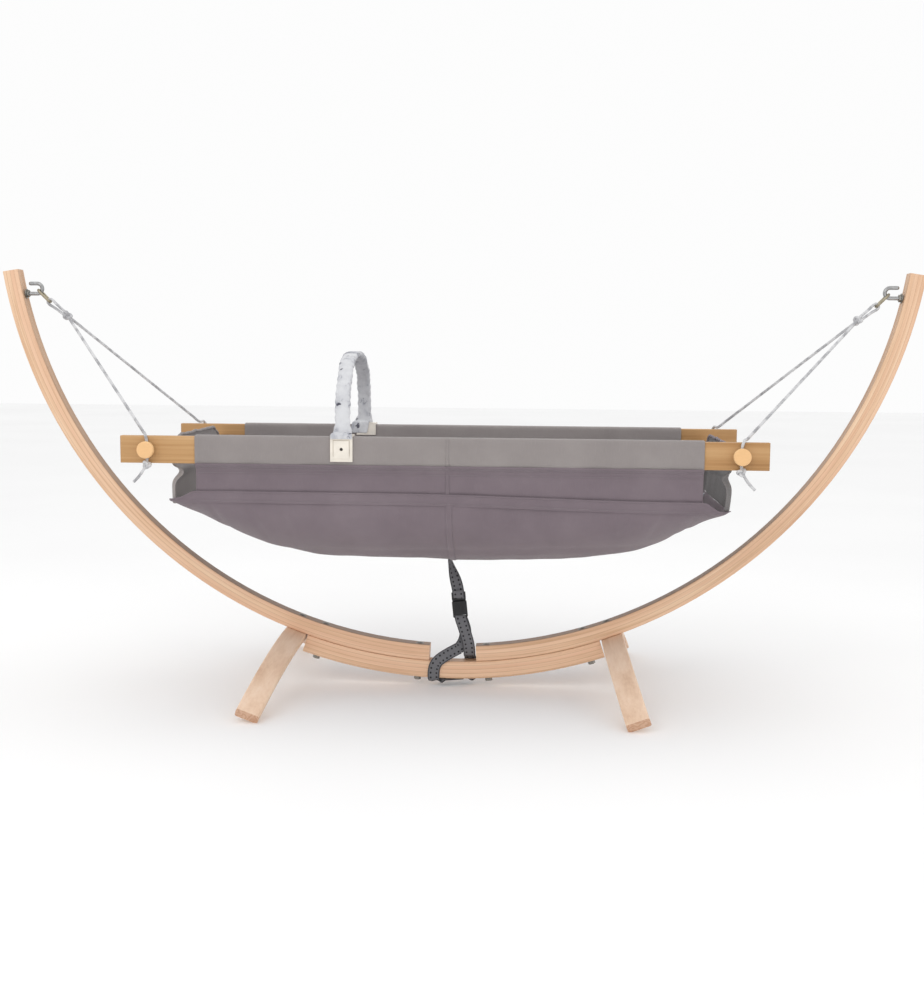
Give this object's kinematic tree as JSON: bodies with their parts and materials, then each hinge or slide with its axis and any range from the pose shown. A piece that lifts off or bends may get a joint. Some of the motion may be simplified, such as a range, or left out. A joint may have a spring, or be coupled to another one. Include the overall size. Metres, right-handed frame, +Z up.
{
  "type": "baby cradle hammock on stand",
  "caption": "Cloth baby cradle with two wooden rails, hung by ropes from a curved laminated wood stand, with toy arch and tether strap.",
  "frame": {"origin": "on the floor, midway between the two feet and under the middle of the arc", "axes": "+X right along the arc and the rails, +Y to the rear, +Z up"},
  "size_m": [1.8964, 0.686, 0.868],
  "materials": {
    "beam_wood": "clear satin lacquer",
    "foot_wood": "clear satin lacquer",
    "rail_wood": "oiled, satin",
    "peg_wood": "satin",
    "zinc_bolt": "zinc plated",
    "zinc_steel": "zinc plated",
    "hook_steel": "bright zinc plate",
    "link_steel": "polished steel",
    "rope": "braided cord",
    "cradle_cloth": "canvas weave",
    "print_cloth": "printed cotton",
    "webbing": "woven webbing with two dotted rows",
    "core_plastic": "moulded",
    "clamp_plastic": "moulded, fine texture",
    "clamp_screw": "dark",
    "buckle_plastic": "moulded acetal"
  },
  "bodies": {
    "stand": {"arc_beam_left": "beam_wood", "arc_beam_right": "beam_wood", "arc_joiner": "beam_wood", "foot_left": "foot_wood", "foot_right": "foot_wood", "beam_bolts": "zinc_bolt", "beam_washers": "zinc_steel", "beam_nuts": "zinc_steel", "foot_bolts": "zinc_bolt", "foot_washers": "zinc_steel", "foot_nuts": "zinc_steel", "screw_hook_left": "hook_steel", "screw_hook_right": "hook_steel", "hook_washers": "zinc_steel", "hook_nuts": "zinc_steel", "strap_loop": "webbing"},
    "cradle": {"snap_link_left": "link_steel", "snap_link_right": "link_steel", "rope_eye_left": "rope", "rope_eye_right": "rope", "rope_knot_left": "rope", "rope_knot_right": "rope", "rope_front_left": "rope", "rope_front_right": "rope", "rope_rear_left": "rope", "rope_rear_right": "rope", "rope_ties": "rope", "rope_tails": "rope", "rail_front": "rail_wood", "rail_rear": "rail_wood", "peg_front_left": "peg_wood", "peg_front_right": "peg_wood", "peg_rear_left": "peg_wood", "peg_rear_right": "peg_wood", "side_panel_front": "cradle_cloth", "side_panel_rear": "cradle_cloth", "end_panel_left": "cradle_cloth", "end_panel_right": "cradle_cloth", "belly_panel": "cradle_cloth", "mattress_pad": "print_cloth", "strap_patch": "webbing", "strap_upper": "webbing"},
    "gate_left": {"link_gate_left": "link_steel"},
    "gate_right": {"link_gate_right": "link_steel"},
    "toy_arch": {"toy_arch_sleeve": "print_cloth", "toy_arch_core": "core_plastic", "clamp_front": "clamp_plastic", "clamp_rear": "clamp_plastic", "clamp_screws": "clamp_screw"},
    "tether": {"buckle_female": "buckle_plastic", "strap_lower": "webbing"},
    "buckle_top": {"buckle_male": "buckle_plastic"}
  },
  "joints": [
    {"name": "hammock_swing", "type": "hinge", "parent": "stand", "child": "cradle", "pos_m": [0, 0, 0.824], "axis": [1, 0, 0], "range_deg": [-12, 12], "deforming": ["strap_upper"]},
    {"name": "tether_lean", "type": "hinge", "parent": "stand", "child": "tether", "pos_m": [0, 0, 0.056], "axis": [1, 0, 0], "range_deg": [-31, 31], "deforming": ["strap_lower"]},
    {"name": "buckle_release", "type": "slide", "parent": "tether", "child": "buckle_top", "axis": [-0.1045, 0, 0.9945], "range_m": [0, 0.018]},
    {"name": "gate_left_open", "type": "hinge", "parent": "cradle", "child": "gate_left", "pos_m": [-0.85985, 0.008, 0.80785], "axis": [0.7071, 0, 0.7071], "range_deg": [0, 22], "stiffness_Nm_per_rad": 0.02},
    {"name": "gate_right_open", "type": "hinge", "parent": "cradle", "child": "gate_right", "pos_m": [0.85985, 0.008, 0.80785], "axis": [0.7071, 0, -0.7071], "range_deg": [0, 22], "stiffness_Nm_per_rad": 0.02},
    {"name": "toy_arch_slide", "type": "slide", "parent": "cradle", "child": "toy_arch", "axis": [1, 0, 0], "range_m": [-0.24, 0.64]}
  ],
  "couplings": [
    {"joint": "tether_lean", "follows": "hammock_swing", "ratio": -2.5}
  ]
}
